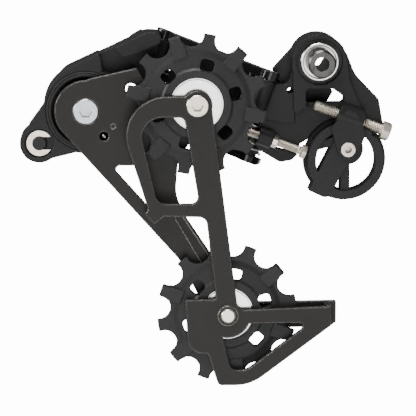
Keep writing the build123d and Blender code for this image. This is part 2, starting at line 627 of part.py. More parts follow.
with BuildPart() as p_knuckle:
    ring_between(HOUSING_OUTBOARD_Y, KNUCKLE_FACE, HOUSING_R, 0, CAGE_PIVOT)
    # boss of the cage lock, blended to the housing
    with BuildSketch(across(LOCK_BOSS_BACK)):
        with Locations(LOCK_PIN):
            Circle(LOCK_BOSS_R)
    extrude(amount=LOCK_BOSS_BACK - KNUCKLE_FACE)
    plate(
        LOCK_BOSS_BACK,
        KNUCKLE_FACE,
        [(-106.2, -23.4), (-99.6, -14.4), (-98.2, -10.0), (-88.0, -12.0), (-88.0, -31.6), (-97.0, -33.8)],
        [3.0, 9.0, 0, 0, 0, 0],
    )
    # front lobe that rises from the housing, and the arm set back behind it
    plate(
        HOUSING_OUTBOARD_Y,
        KNUCKLE_FACE,
        [(-98.0, -9.0), (-92.0, -2.0), (-79.4, 3.9), (-78.6, -2.0), (-84.0, -8.0)],
        [0, 8.0, 0.8, 0, 0],
    )
    plate(
        HOUSING_OUTBOARD_Y,
        3.0,
        [(-92.0, -2.2), *ARM_TOP, (-56.8, 11.0), (-57.6, 7.6), (-61.2, -6.4), (-64.6, -6.8),
         (-66.0, -3.2), (-71.5, -3.4), (-84.0, -8.0)],
        [0, 30.0, 4.0, 2.2, 0.8, 0.8, 0.8, 0.8, 2.0, 0],
    )
    # short beak over the pulley, in front of the arm's far end
    plate(
        3.0,
        -3.4,
        [(-74.2, 5.7), (-62.6, 11.3), (-56.8, 11.0), (-57.8, 7.4), (-64.0, 4.4), (-71.0, 2.4)],
        [0, 4.0, 2.2, 1.2, 4.0, 1.0],
    )
    for low, high in ear_rooms(INNER_LINK_SPAN, INNER_EAR):
        pin_bore(P_INNER_SEAT, low, high, EYE_R + GAP)
    with BuildSketch(square_to_pins(KNUCKLE_EYE[0])):
        with BuildLine():
            Polyline((-55.1, 13.6), (-53.2, 21.0), (-53.0, 29.0), (-56.2, 31.0), (-66.0, 20.0),
                     (-68.0, 11.0), (-58.0, 10.4), close=True)
        make_face()
    extrude(amount=KNUCKLE_EYE[1] - KNUCKLE_EYE[0])
    # the web behind the arm stays under the arm's top line
    cut_plate(
        slanted(*P_OUTER_SEAT, 0).Y,
        MID_WALL[1],
        [*ARM_TOP, (ARM_TOP[1][0], 20.0), (ARM_TOP[0][0], 20.0)],
        0,
    )
    for low, high in ear_rooms((OUTER_P_LOW, OUTER_LINK_SPAN[1]), OUTER_EAR):
        pin_bore(P_OUTER_SEAT, low, high, hypot(OUTER_FRONT_OVER, LINK_HALF) + GAP)
    pin_eye(P_INNER_SEAT, *KNUCKLE_EYE, EYE_R)
    pin_eye(P_OUTER_SEAT, *OUTER_P_EYE, EYE_R)
    pin_bore(P_INNER_SEAT, *KNUCKLE_EYE, PIN_R)
    pin_bore(P_OUTER_SEAT, *OUTER_P_EYE, PIN_R)
    # chambers for the spring and the clutch, with the shaft's bearing between them
    bore(MID_WALL[0], KNUCKLE_FACE, CHAMBER_R, CAGE_PIVOT)
    bore(HOUSING_OUTBOARD_Y, MID_WALL[1], CHAMBER_R, CAGE_PIVOT)
    ring_between(MID_WALL[0], -1.0, SHAFT_BOSS_R, 0, CAGE_PIVOT)
    bore(MID_WALL[1], KNUCKLE_FACE, PIVOT_SHAFT_R + RUNNING, CAGE_PIVOT)
    bore(MID_WALL[0] + 1.6, MID_WALL[0], SPRING_WIRE_R + 0.1, polar(CAGE_PIVOT, SPRING_MEAN_R, 100.0))
    # groove for the seal that faces the cage
    with BuildSketch(across(KNUCKLE_FACE + 1.1)):
        with Locations(CAGE_PIVOT):
            Circle(SEAL_R + SEAL_WIRE_R)
            Circle(SEAL_R - SEAL_WIRE_R, mode=Mode.SUBTRACT)
    extrude(amount=1.1, mode=Mode.SUBTRACT)
    # rib that the cage's stop pin meets at rest
    with BuildSketch(across(-1.6)):
        with Locations(Pos(*CAGE_PIVOT) * Rot(0, 0, STOP_ANGLE + 12.0) * Pos(11.6, 0)):
            Rectangle(2.4, 1.8)
    extrude(amount=-1.6 - KNUCKLE_FACE)
    # the lock's bore and the counterbore for its clip
    bore(LOCK_BOSS_BACK, KNUCKLE_FACE, LOCK_PIN_R + RUNNING, LOCK_PIN)
    bore(KNUCKLE_FACE + COUNTERBORE_DEPTH, KNUCKLE_FACE, COUNTERBORE_R, LOCK_PIN)
save_on_links(p_knuckle, "p_knuckle")

with BuildPart() as knuckle_seal:
    with BuildSketch(Plane.XY):
        with Locations((SEAL_R, 0)):
            Circle(SEAL_WIRE_R)
    revolve(axis=Axis.Y)
seal_place = Pos(CAGE_PIVOT[0], KNUCKLE_FACE + SEAL_WIRE_R, CAGE_PIVOT[1])
knuckle_seal.part = seal_place * knuckle_seal.part
save_on_links(knuckle_seal, "knuckle_seal")

# clutch: a drum on the shaft inside a friction band, under a cover
DRUM_ENDS = (MID_WALL[1] + 0.4, HOUSING_OUTBOARD_Y - 0.4)
BAND_R = DRUM_R + RUNNING
COVER_SCREWS = [polar(CAGE_PIVOT, HOUSING_R - 1.9, angle) for angle in (75.0, 195.0, 315.0)]

with BuildPart() as clutch_drum:
    ring_between(DRUM_ENDS[1], DRUM_ENDS[0], DRUM_R, PIVOT_SHAFT_R, CAGE_PIVOT)
save_on_links(clutch_drum, "clutch_drum")

with BuildPart() as clutch_band:
    ring_between(DRUM_ENDS[1] - 0.6, DRUM_ENDS[0] + 0.6, BAND_R + BAND_WALL, BAND_R, CAGE_PIVOT)
    with BuildSketch(across(DRUM_ENDS[1])):
        with Locations(Pos(*CAGE_PIVOT) * Rot(0, 0, 135) * Pos(BAND_R, 0)):
            Rectangle(4 * BAND_WALL, 2.0)
    extrude(amount=DRUM_ENDS[1] - DRUM_ENDS[0], mode=Mode.SUBTRACT)
    with BuildSketch(across(DRUM_ENDS[1] - 0.6)):
        for side in (-1, 1):
            with Locations(Pos(*CAGE_PIVOT) * Rot(0, 0, 135) * Pos(BAND_R + BAND_WALL + 0.5, side * 1.9)):
                Rectangle(3.4, 1.6)
    extrude(amount=DRUM_ENDS[1] - DRUM_ENDS[0] - 1.2)
save_on_links(clutch_band, "clutch_band")

with BuildPart() as clutch_cover:
    ring_between(COVER_OUTBOARD_Y, HOUSING_OUTBOARD_Y, HOUSING_R, 0, CAGE_PIVOT)
    fillet(clutch_cover.faces().sort_by(Axis.Y)[-1].edges(), 3.0)
    bore(COVER_OUTBOARD_Y - COVER_WALL, HOUSING_OUTBOARD_Y, CHAMBER_R - 0.8, CAGE_PIVOT)
    for place in COVER_SCREWS:
        bore(COVER_OUTBOARD_Y, COVER_OUTBOARD_Y - 4.2, 1.9 + RUNNING, place)
        bore(COVER_OUTBOARD_Y, HOUSING_OUTBOARD_Y, 1.0, place)
save_on_links(clutch_cover, "clutch_cover")

with BuildPart() as clutch_screws:
    for place in COVER_SCREWS:
        ring_between(COVER_OUTBOARD_Y - 4.2, HOUSING_OUTBOARD_Y, 1.0, 0, place)
        ring_between(COVER_OUTBOARD_Y - 1.6, COVER_OUTBOARD_Y - 4.2, 1.9, 0, place)
        hex_socket(COVER_OUTBOARD_Y - 1.6, 1.4, 1.8, place, outboard=True)
save_on_links(clutch_screws, "clutch_screws")


def coil(start, axis, length, mean_r, wire_r, turns, start_angle):
    """The wire of a coil spring that starts at a point and runs along an axis, as a swept helix."""
    path = Helix(length / turns, length, mean_r, mode=Mode.PRIVATE)
    with BuildPart() as wire:
        with BuildSketch(Plane(origin=path @ 0, z_dir=path % 0)):
            Circle(wire_r)
        sweep(path=path)
    wire.part = Plane(origin=start, z_dir=axis).location * Rot(0, 0, start_angle) * wire.part
    return wire


SPRING_ENDS = (KNUCKLE_FACE + 1.3, MID_WALL[0] - 1.1)
cage_spring = coil(
    (CAGE_PIVOT[0], SPRING_ENDS[0], CAGE_PIVOT[1]),
    OUTBOARD, SPRING_ENDS[1] - SPRING_ENDS[0], SPRING_MEAN_R, SPRING_WIRE_R, 3, 54.0,
)
save_on_links(cage_spring, "cage_spring")

# return spring round the lower half of the B-knuckle's outer eye
RETURN_WIRE_R = 0.6
RETURN_SPRING_U = (OUTER_B_EYE[0] + RETURN_WIRE_R + GAP, KNUCKLE_EYE[0] - RETURN_WIRE_R - GAP)
return_spring = coil(
    slanted(*OUTER_B_PIN, RETURN_SPRING_U[0]),
    PIN_AXIS, RETURN_SPRING_U[1] - RETURN_SPRING_U[0], EYE_R + RETURN_WIRE_R + GAP, RETURN_WIRE_R, 8, 0.0,
)
save(return_spring, "return_spring")

# cage lock: a push pin, its clip and its spring
LOCK_HEAD = (7.6, 10.4)
CLIP_Y = KNUCKLE_FACE + COUNTERBORE_DEPTH - 0.1
with BuildPart() as lock_button:
    ring_between(LOCK_HEAD[0], KNUCKLE_FACE, LOCK_PIN_R, 0, LOCK_PIN)
    chamfer(lock_button.faces().sort_by(Axis.Y)[0].edges(), 0.3)
    ring_between(LOCK_HEAD[1], LOCK_HEAD[0], LOCK_HEAD_R, 0, LOCK_PIN)
    fillet(lock_button.faces().sort_by(Axis.Y)[-1].edges(), 1.0)
    with BuildSketch(across(CLIP_Y)):
        with Locations(LOCK_PIN):
            Circle(LOCK_PIN_R)
            Circle(LOCK_PIN_R - 0.45, mode=Mode.SUBTRACT)
    extrude(amount=CLIP_WALL, mode=Mode.SUBTRACT)
save_on_links(lock_button, "lock_button")

with BuildPart() as lock_clip:
    ring_between(CLIP_Y, CLIP_Y - CLIP_WALL, 4.6, LOCK_PIN_R - 0.45, LOCK_PIN)
    with BuildSketch(across(CLIP_Y)):
        with Locations((LOCK_PIN[0] + 4.0, LOCK_PIN[1])):
            Rectangle(6.0, 4.6)
    extrude(amount=CLIP_WALL, mode=Mode.SUBTRACT)
save_on_links(lock_clip, "lock_clip")

lock_spring = coil(
    (LOCK_PIN[0], LOCK_BOSS_BACK + 0.4, LOCK_PIN[1]),
    OUTBOARD, LOCK_HEAD[0] - LOCK_BOSS_BACK - 0.8, LOCK_PIN_R + 0.9, 0.35, 3, 0.0,
)
save_on_links(lock_spring, "lock_spring")

# ---------------------------------------------------------------- cage
with BuildPart() as outer_cage_plate:
    ring_between(CAGE_OUTBOARD_Y, CAGE_OUTER_FACE, 11.2, 0, CAGE_PIVOT)
    plate(
        CAGE_OUTBOARD_Y,
        CAGE_OUTER_FACE,
        [(-93.4, -23.6), (-86.4, -5.6), (-66.2, -1.1), (-63.6, -5.8), (-50.0, -7.2), (-39.2, -10.6),
         (-39.0, -15.6), (-51.6, -34.5), (-52.6, -47.0), (-48.6, -55.4), (-27.8, -86.6), (5.9, -86.4),
         (5.9, -94.4), (3.6, -96.0), (-30.0, -96.4), (-41.0, -91.0), (-50.2, -71.9)],
        [0, 8.0, 0.8, 1.5, 4.0, 3.0, 3.0, 8.0, 14.0, 6.0, 3.0, 0.5, 0.5, 0.5, 8.0, 3.0, 30.0],
    )
    cut_plate(
        CAGE_OUTBOARD_Y,
        CAGE_OUTER_FACE,
        [(-75.6, -36.3), (-64.8, -36.3), (-59.2, -52.2), (-60.7, -53.0)],
        [1.4, 2.0, 0.6, 0.6],
    )
    bore(CAGE_OUTBOARD_Y, CAGE_OUTER_FACE, 2.0, (-68.4, -8.6))
    bore(CAGE_OUTBOARD_Y, CAGE_OUTER_FACE, 1.6, SPRING_HOLE)
    chamfer(outer_cage_plate.faces().sort_by(Axis.Y)[0].edges(), 0.3)
    # recess beside the long rib of the lower arm
    cut_plate(
        CAGE_OUTER_FACE + 0.7,
        CAGE_OUTER_FACE,
        [(-51.6, -52.0), (-49.6, -55.6), (-36.6, -75.6), (-40.0, -77.4), (-52.6, -56.0)],
        [0.8, 2.0, 0.8, 0.8, 0.8],
    )
    bore(CAGE_OUTBOARD_Y, CAGE_OUTER_FACE, AXLE_R, UPPER_AXLE)
    bore(CAGE_OUTBOARD_Y, CAGE_OUTER_FACE, AXLE_R + RUNNING, LOWER_AXLE)
    bore(CAGE_OUTBOARD_Y, CAGE_OUTER_FACE, PIVOT_BOLT_R + RUNNING, CAGE_PIVOT)
    bore(CAGE_OUTER_FACE + 1.1, CAGE_OUTER_FACE, PIVOT_HEAD_R + 0.15, CAGE_PIVOT)
    bore(CAGE_OUTBOARD_Y, CAGE_OUTER_FACE, STOP_PIN_R, polar(CAGE_PIVOT, STOP_RADIUS, STOP_ANGLE))
save_on_links(outer_cage_plate, "outer_cage_plate")

ARM_BOSS_R = 5.4
with BuildPart() as inner_cage_plate:
    ring_between(INNER_PLATE_BACK, INNER_PLATE_FACE, ARM_BOSS_R, 0, UPPER_AXLE)
    plate(
        INNER_PLATE_BACK,
        INNER_PLATE_FACE,
        [(-44.6, -10.4), (-75.4, -10.5), (-61.9, -53.2), (-42.0, -53.7), (-38.4, -83.6), (-49.5, -83.6),
         (-48.4, -103.4), (-41.3, -103.4), (-37.6, -115.2), (-26.0, -115.2), (3.0, -93.6), (3.0, -86.5),
         (-30.6, -87.6), (-39.9, -15.0)],
        [0, 14.0, 2.0, 3.0, 0.8, 0.8, 5.6, 0.4, 2.0, 16.0, 0.5, 0.5, 2.5, 0],
    )
    cut_plate(
        INNER_PLATE_BACK,
        INNER_PLATE_FACE,
        [(-66.4, -17.9), (-49.7, -17.9), (-44.5, -48.8), (-59.4, -48.8)],
        [7.0, 2.2, 2.4, 4.0],
    )
    with BuildSketch(across(INNER_PLATE_BACK)):
        with BuildLine():
            FilletPolyline(
                (-37.0, -92.6), (-4.4, -92.4), (-27.4, -109.4), (-33.2, -109.6),
                radius=[0.6, 1.4, 5.0, 3.0], close=True,
            )
        make_face()
        with Locations(LOWER_AXLE):
            Circle(8.2, mode=Mode.SUBTRACT)
    extrude(amount=INNER_PLATE_WALL, mode=Mode.SUBTRACT)
    # bent flange at the foot's end and bent tab at the crossbar's corner
    plate(CAGE_OUTER_FACE, INNER_PLATE_BACK, [(1.4, -86.5), (3.0, -86.5), (3.0, -93.6), (1.4, -94.8)], 0)
    plate(
        CAGE_OUTER_FACE,
        INNER_PLATE_BACK,
        [(-62.2, -50.6), (-63.6, -52.6), (-60.4, -56.2), (-58.9, -54.8)],
        0,
    )
    plate(
        INNER_PLATE_BACK,
        INNER_PLATE_FACE,
        [(-62.4, -50.0), (-63.8, -52.4), (-60.4, -56.2), (-56.0, -52.6)],
        [0, 0.8, 0.8, 0],
    )
    chamfer(inner_cage_plate.faces().sort_by(Axis.Y)[0].edges(), 0.3)
    # raised collar that the lower axle's end shows in
    ring_between(INNER_PLATE_FACE, INNER_PLATE_FACE - 0.8, 3.6, 0, LOWER_AXLE)
    bore(INNER_PLATE_BACK, INNER_PLATE_FACE, AXLE_R + RUNNING, UPPER_AXLE)
    bore(INNER_PLATE_BACK, INNER_PLATE_FACE - 0.8, AXLE_R, LOWER_AXLE)
save_on_links(inner_cage_plate, "inner_cage_plate")

with BuildPart() as pivot_shaft:
    ring_between(DRUM_ENDS[1] + 1.2, CAGE_OUTBOARD_Y, PIVOT_SHAFT_R, PIVOT_BOLT_R, CAGE_PIVOT)
save_on_links(pivot_shaft, "pivot_shaft")

with BuildPart() as shaft_clip:
    ring_between(DRUM_ENDS[1] + 1.0, DRUM_ENDS[1], PIVOT_SHAFT_R + 1.6, PIVOT_SHAFT_R, CAGE_PIVOT)
    with BuildSketch(across(DRUM_ENDS[1] + 1.0)):
        with Locations((CAGE_PIVOT[0] + PIVOT_SHAFT_R + 1.0, CAGE_PIVOT[1])):
            Rectangle(3.0, 3.0)
    extrude(amount=1.0, mode=Mode.SUBTRACT)
save_on_links(shaft_clip, "shaft_clip")

with BuildPart() as cage_pivot_bolt:
    ring_between(CAGE_OUTER_FACE + 1.1, CAGE_OUTER_FACE - 0.3, PIVOT_HEAD_R, 0, CAGE_PIVOT)
    chamfer(cage_pivot_bolt.faces().sort_by(Axis.Y)[0].edges(), 0.25)
    ring_between(6.0, CAGE_OUTER_FACE + 1.1, PIVOT_BOLT_R, 0, CAGE_PIVOT)
    hex_socket(CAGE_OUTER_FACE - 0.3, 2.0, 4.0, CAGE_PIVOT)
save_on_links(cage_pivot_bolt, "cage_pivot_bolt")

with BuildPart() as cage_stop_pin:
    ring_between(-1.8, CAGE_OUTER_FACE + 0.1, STOP_PIN_R, 0, polar(CAGE_PIVOT, STOP_RADIUS, STOP_ANGLE))
save_on_links(cage_stop_pin, "cage_stop_pin")

# ---------------------------------------------------------------- pulleys and their bearings
CAP_INNER_Y = BEARING_WIDTH / 2 + GAP
TOOTH_STEP = 360 / TEETH


def toothed_pulley(centre, first_tooth, first_window):
    """A moulded pulley whose teeth are alternately narrow and thick."""
    middle = across(PULLEY_Y)
    with BuildPart() as pulley:
        # stepped disc, from the bearing's seat out to the teeth
        with BuildSketch(Plane.XY):
            with BuildLine():
                Polyline(
                    (BEARING_OUTER_R, -HUB_RING_WIDTH / 2),
                    (HUB_RING_R, -HUB_RING_WIDTH / 2),
                    (HUB_RING_R + 0.8, -1.9),
                    (17.6, -1.5),
                    (19.4, -NARROW_TOOTH / 2),
                    (TOOTH_TIP_R, -NARROW_TOOTH / 2),
                    (TOOTH_TIP_R, NARROW_TOOTH / 2),
                    (19.4, NARROW_TOOTH / 2),
                    (17.6, 1.5),
                    (HUB_RING_R + 0.8, 1.9),
                    (HUB_RING_R, HUB_RING_WIDTH / 2),
                    (BEARING_OUTER_R, HUB_RING_WIDTH / 2),
                    close=True,
                )
            make_face()
        revolve(axis=Axis.Y)
        # thick blocks on every second tooth
        with BuildSketch(Plane.XZ.offset(-WIDE_TOOTH / 2)):
            with PolarLocations(21.0, TEETH // 2, start_angle=first_tooth + TOOTH_STEP):
                Rectangle(7.6, 5.0)
        extrude(amount=WIDE_TOOTH)
        # gaps between the teeth
        with BuildSketch(Plane.XZ.offset(-WIDE_TOOTH)):
            with PolarLocations(PITCH_R + 0.4, TEETH, start_angle=first_tooth + TOOTH_STEP / 2):
                Circle(ROOT_ARC_R)
                with Locations((1.6, 0)):
                    Trapezoid(10.4, 3.4, 100, rotation=-90)
        extrude(amount=2 * WIDE_TOOTH, mode=Mode.SUBTRACT)
        # six windows
        with BuildSketch(Plane.XZ.offset(-WIDE_TOOTH)):
            with PolarLocations(WINDOW_CIRCLE_R, TEETH // 2, start_angle=first_window):
                RectangleRounded(4.4, 5.0, 1.4)
        extrude(amount=2 * WIDE_TOOTH, mode=Mode.SUBTRACT)
    pulley.part = Pos(middle.origin + Vector(centre[0], 0, centre[1])) * pulley.part
    return pulley


for side, axle, first_tooth, first_window in (
    ("upper", UPPER_AXLE, 19.0, 15.0),
    ("lower", LOWER_AXLE, 10.0, 18.0),
):
    save_on_links(toothed_pulley(axle, first_tooth, first_window), f"{side}_pulley")

    half = BEARING_WIDTH / 2
    race_wall = (BEARING_OUTER_R - BEARING_BORE_R - 2 * BALL_R) / 2 - RUNNING
    with BuildPart() as outer_race:
        ring_between(PULLEY_Y + half, PULLEY_Y - half, BEARING_OUTER_R, BEARING_OUTER_R - race_wall, axle)
    save_on_links(outer_race, f"{side}_bearing_outer_race")
    with BuildPart() as inner_race:
        ring_between(
            PULLEY_Y + CAP_INNER_Y, PULLEY_Y - CAP_INNER_Y, BEARING_BORE_R + race_wall, BEARING_BORE_R, axle
        )
    save_on_links(inner_race, f"{side}_bearing_inner_race")
    with BuildPart() as balls:
        ball_circle = (BEARING_OUTER_R + BEARING_BORE_R) / 2
        for number in range(BALLS):
            place = polar(axle, ball_circle, 360 * number / BALLS)
            with Locations((place[0], PULLEY_Y, place[1])):
                Sphere(BALL_R)
    save_on_links(balls, f"{side}_bearing_balls")
    with BuildPart() as dust_caps:
        for inboard in (PULLEY_Y - CAP_INNER_Y - DUST_CAP_WALL, PULLEY_Y + CAP_INNER_Y):
            ring_between(inboard + DUST_CAP_WALL, inboard, DUST_CAP_R, BEARING_BORE_R, axle)
    save_on_links(dust_caps, f"{side}_dust_caps")
    with BuildPart() as axle_bush:
        ring_between(CAGE_OUTER_FACE, INNER_PLATE_BACK, BEARING_BORE_R, AXLE_R + RUNNING, axle)
    save_on_links(axle_bush, f"{side}_axle_bush")

with BuildPart() as upper_axle_bolt:
    ring_between(CAGE_OUTBOARD_Y + 0.6, INNER_PLATE_FACE, AXLE_R, 0, UPPER_AXLE)
    ring_between(INNER_PLATE_FACE, INNER_PLATE_FACE - 1.3, 3.9, 0, UPPER_AXLE)
    chamfer(upper_axle_bolt.faces().sort_by(Axis.Y)[0].edges(), 0.25)
    hex_socket(INNER_PLATE_FACE - 1.3, 2.6, 3.7, UPPER_AXLE)
save_on_links(upper_axle_bolt, "upper_axle_bolt")

with BuildPart() as lower_axle_bolt:
    ring_between(CAGE_OUTBOARD_Y, INNER_PLATE_FACE - 1.0, AXLE_R, 0, LOWER_AXLE)
    chamfer(lower_axle_bolt.faces().sort_by(Axis.Y)[0].edges(), 0.3)
    ring_between(CAGE_OUTBOARD_Y + 1.6, CAGE_OUTBOARD_Y, 3.9, 0, LOWER_AXLE)
    hex_socket(CAGE_OUTBOARD_Y + 1.6, 2.6, 3.7, LOWER_AXLE, outboard=True)
save_on_links(lower_axle_bolt, "lower_axle_bolt")
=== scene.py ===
"""Rear bicycle derailleur: the finishes, threaded screws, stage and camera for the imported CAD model.

Everything is in metres in the model's own frame: +Z up, +X to the rear of the bicycle and +Y
away from the wheel, with the origin where the hanger bolt's axis meets the hanger's face.
"""
from math import cos, pi, radians, sin

import bmesh
import bpy
import numpy as np
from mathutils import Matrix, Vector


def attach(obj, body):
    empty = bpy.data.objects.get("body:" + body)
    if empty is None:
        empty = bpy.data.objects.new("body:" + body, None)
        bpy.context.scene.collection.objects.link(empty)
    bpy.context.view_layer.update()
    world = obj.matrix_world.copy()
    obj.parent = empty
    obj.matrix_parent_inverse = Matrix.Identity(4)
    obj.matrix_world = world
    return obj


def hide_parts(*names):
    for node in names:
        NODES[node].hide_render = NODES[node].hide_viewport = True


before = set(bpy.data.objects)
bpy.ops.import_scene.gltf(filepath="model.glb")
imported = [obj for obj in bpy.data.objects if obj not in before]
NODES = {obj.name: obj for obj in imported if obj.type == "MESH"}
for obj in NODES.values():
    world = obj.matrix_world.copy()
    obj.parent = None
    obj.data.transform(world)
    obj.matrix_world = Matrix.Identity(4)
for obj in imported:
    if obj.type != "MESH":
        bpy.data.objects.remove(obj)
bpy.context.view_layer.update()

bl_info = {
    "name": "Rear Derailleur",
    "version": (1, 0, 0),
    "blender": (4, 5, 0),
    "location": "View3D > Sidebar > Derailleur",
    "description": "Finishes, threaded screws and a studio for a rear bicycle derailleur",
    "category": "Add Mesh",
}

MM = 0.001

LINK_TILT = radians(20.5)  # between the link pins and the vertical
REARWARD = np.array([cos(LINK_TILT), 0.0, -sin(LINK_TILT)])  # along the adjusting screws
OUTBOARD = np.array([0.0, 1.0, 0.0])
PIN_AXIS = np.array([sin(LINK_TILT), 0.0, cos(LINK_TILT)])
COLLAR_START = -6.3  # millimetres along REARWARD, against the limit screws' block
# each adjusting screw in millimetres: node, (outboard, up the pins), start along REARWARD,
# shank (length, radius), threaded span, pitch, head (length, radius, socket radius)
SCREWS = (
    ("b_screw", (-1.0, -15.1), 3.6, (25.9, 2.0), (0.4, 25.6), 0.7, (3.2, 3.4, 1.7)),
    ("high_limit_screw", (0.0, -32.5), -15.5, (20.5, 1.5), (0.4, 19.5), 0.5, (2.2, 2.5, 1.2)),
    ("low_limit_screw", (6.4, -32.5), -15.5, (17.7, 1.5), (0.4, 17.0), 0.5, (2.2, 2.5, 1.2)),
)
TIP_CHAMFER = 0.6
HEAD_CHAMFER = 0.4
THREAD_DEPTH = 0.4  # as a share of the pitch
SOCKET_DEPTH = 0.6  # as a share of the head's length
TANG_ENDS = ((-78.8, -5.6, -25.1), (-77.4, -6.1, -26.1))  # of the cage spring's tang, in millimetres
TANG_R = 0.6
COLLAR_CHAMFER = 0.25
SMOOTH_UNDER = radians(35)  # sharper edges than this stay sharp

# each lamp: name, place in metres, width in metres, power in watts
LAMPS = (
    ("overhead", (-0.15, -0.12, 0.9), 0.5, 9.0),
    ("side_left", (-0.9, -0.15, 0.2), 0.5, 7.0),
    ("key", (-0.4, -0.65, 0.6), 0.4, 5.0),
    ("side_right", (0.7, -0.35, 0.2), 0.4, 1.5),
    ("front_low", (-0.05, -1.1, -0.25), 0.6, 3.2),
)
FLOOR_HALF = 2.6
FLOOR_Z = -0.62


# ---------------------------------------------------------------- shader maths
class Wire:
    """One socket of a material's node tree; arithmetic on wires adds Math nodes."""

    def __init__(self, tree, socket):
        self.tree, self.socket = tree, socket

    def math(self, operation, *values):
        """A Math node on these wires and numbers."""
        return add_node(self.tree, "ShaderNodeMath", {"operation": operation},
                        dict(enumerate(values)))["Value"]

    def __add__(self, other):
        return self.math("ADD", self, other)

    def __sub__(self, other):
        return self.math("SUBTRACT", self, other)

    def __rsub__(self, other):
        return self.math("SUBTRACT", other, self)

    def __mul__(self, other):
        return self.math("MULTIPLY", self, other)

    __radd__, __rmul__ = __add__, __mul__

    def above(self, low, high):
        """0 under low, 1 over high, and smooth between them."""
        return add_node(self.tree, "ShaderNodeMapRange", {"interpolation_type": "SMOOTHSTEP"},
                        {"Value": self, "From Min": low, "From Max": high})["Result"]

    def between(self, low, high):
        """This 0 to 1 wire spread over low to high."""
        return self * (high - low) + low


def set_socket(tree, socket, value):
    """Links a wire to a socket, or sets its value; a colour of three parts is made opaque."""
    if isinstance(value, Wire):
        tree.links.new(value.socket, socket)
    elif socket.type == "RGBA":
        socket.default_value = (*value, 1.0)
    else:
        socket.default_value = value


def add_node(tree, kind, settings=None, values=None):
    """Adds a node, makes its settings, sets its sockets and gives its outputs as wires by name."""
    node = tree.nodes.new(kind)
    for name, value in (settings or {}).items():
        setattr(node, name, value)
    for name, value in (values or {}).items():
        set_socket(tree, node.inputs[name], value)
    return {out.name: Wire(tree, out) for out in reversed(node.outputs)}


def scaled(colour, share):
    """A lighter or darker shade of a colour."""
    return tuple(part * share for part in colour)


class Finish:
    """A material under construction: its tree, its coordinates and its surface shader."""

    def __init__(self, name):
        self.material = bpy.data.materials.new(name)
        self.material.use_nodes = True
        self.tree = self.material.node_tree
        self.shader = next(n for n in self.tree.nodes if n.type == "BSDF_PRINCIPLED")
        self.place = self.add("ShaderNodeTexCoord")["Object"]

    def add(self, kind, settings=None, values=None):
        return add_node(self.tree, kind, settings, values)

    def noise(self, scale, detail=2.0, roughness=0.5, stretch=None):
        """0 to 1 noise with this many waves a metre, stretched along an axis if asked."""
        place = self.place
        if stretch:
            place = self.add("ShaderNodeMapping", None, {"Vector": place, "Scale": stretch})["Vector"]
        return self.add("ShaderNodeTexNoise", None, {
            "Vector": place, "Scale": scale, "Detail": detail, "Roughness": roughness})["Fac"]

    def edges(self, radius):
        """1 along outside edges and 0 on flats: how far a rounded normal leans from the true one."""
        rounded = self.add("ShaderNodeBevel", {"samples": 4}, {"Radius": radius})["Normal"]
        flat = self.add("ShaderNodeNewGeometry")["Normal"]
        return 1.0 - self.add("ShaderNodeVectorMath", {"operation": "DOT_PRODUCT"},
                              {0: rounded, 1: flat})["Value"]

    def blend(self, mask, first, second):
        """The colour that goes from first to second with the mask."""
        node = self.tree.nodes.new("ShaderNodeMix")
        node.data_type = "RGBA"
        # a Mix node's colour sockets share their names with its other kinds, so they go by number
        for number, value in ((0, mask), (6, first), (7, second)):
            set_socket(self.tree, node.inputs[number], value)
        return Wire(self.tree, node.outputs[2])

    def relief(self, height, distance, rounding):
        """Bumps the surface by a height pattern, over edges that are rounded by a radius."""
        values = {"Height": height, "Distance": distance, "Strength": 1.0}
        if rounding:
            values["Normal"] = self.add("ShaderNodeBevel", {"samples": 6}, {"Radius": rounding})["Normal"]
        return self.add("ShaderNodeBump", None, values)["Normal"]

    def surface(self, **sockets):
        """Sets or links the shader's sockets, named with underscores for spaces."""
        for name, value in sockets.items():
            set_socket(self.tree, self.shader.inputs[name.replace("_", " ")], value)
        return self.material


# ---------------------------------------------------------------- finishes
def anodised_plate(name, colour, edge_colour, wear):
    """Bead-blasted, anodised plate: fine grain, faint cloudiness and edges rubbed to bare metal, a pale band
    that is also a painted highlight along the chamfers.
    """
    finish = Finish(name)
    cloud = finish.noise(120.0, 3.0)
    grain = finish.noise(5200.0, 2.0)
    patchy = finish.noise(420.0, 3.0).between(0.8, 1.6)
    # painted highlight: the pale metallic edge band is widened so that the chamfers read bright, besides the
    # rubbed bare metal
    worn_and_highlit = (finish.edges(0.0006) * wear * patchy).above(0.02, 0.35)
    clouded = finish.blend(cloud, scaled(colour, 0.72), scaled(colour, 1.25))
    return finish.surface(
        Base_Color=finish.blend(worn_and_highlit, clouded, edge_colour),
        Roughness=cloud.between(0.40, 0.50) - worn_and_highlit * 0.15,
        Metallic=worn_and_highlit.between(0.15, 0.9),
        Specular_IOR_Level=0.35,
        Normal=finish.relief(grain, 0.000012, 0.0005),
    )


def lacquer(name, colour, roughness):
    """Gloss paint over forged metal: a slight orange peel under a clear coat."""
    finish = Finish(name)
    peel = finish.noise(900.0, 2.0)
    dust = finish.noise(260.0, 4.0)
    return finish.surface(
        Base_Color=finish.blend(dust, colour, tuple(c * 1.8 + 0.002 for c in colour)),
        Roughness=dust.between(roughness, roughness + 0.1),
        Specular_IOR_Level=0.4,
        Coat_Weight=0.25, Coat_Roughness=0.1,
        Normal=finish.relief(peel, 0.00001, 0.0006),
    )


def forged(name, colour):
    """Satin black coating on a forging: broad waves, grain and slightly polished edges."""
    finish = Finish(name)
    waves = finish.noise(140.0, 2.0)
    grain = finish.noise(3200.0, 3.0)
    rubbed = (finish.edges(0.0005) * 1.6).above(0.05, 0.9)
    return finish.surface(
        Base_Color=finish.blend(rubbed * 0.6, finish.blend(waves, colour, scaled(colour, 1.5)),
                                tuple(c * 3.0 + 0.01 for c in colour)),
        Roughness=waves.between(0.42, 0.52) - rubbed * 0.12,
        Specular_IOR_Level=0.3,
        Normal=finish.relief(waves * 2.0 + grain * 0.15, 0.00003, 0.0006),
    )


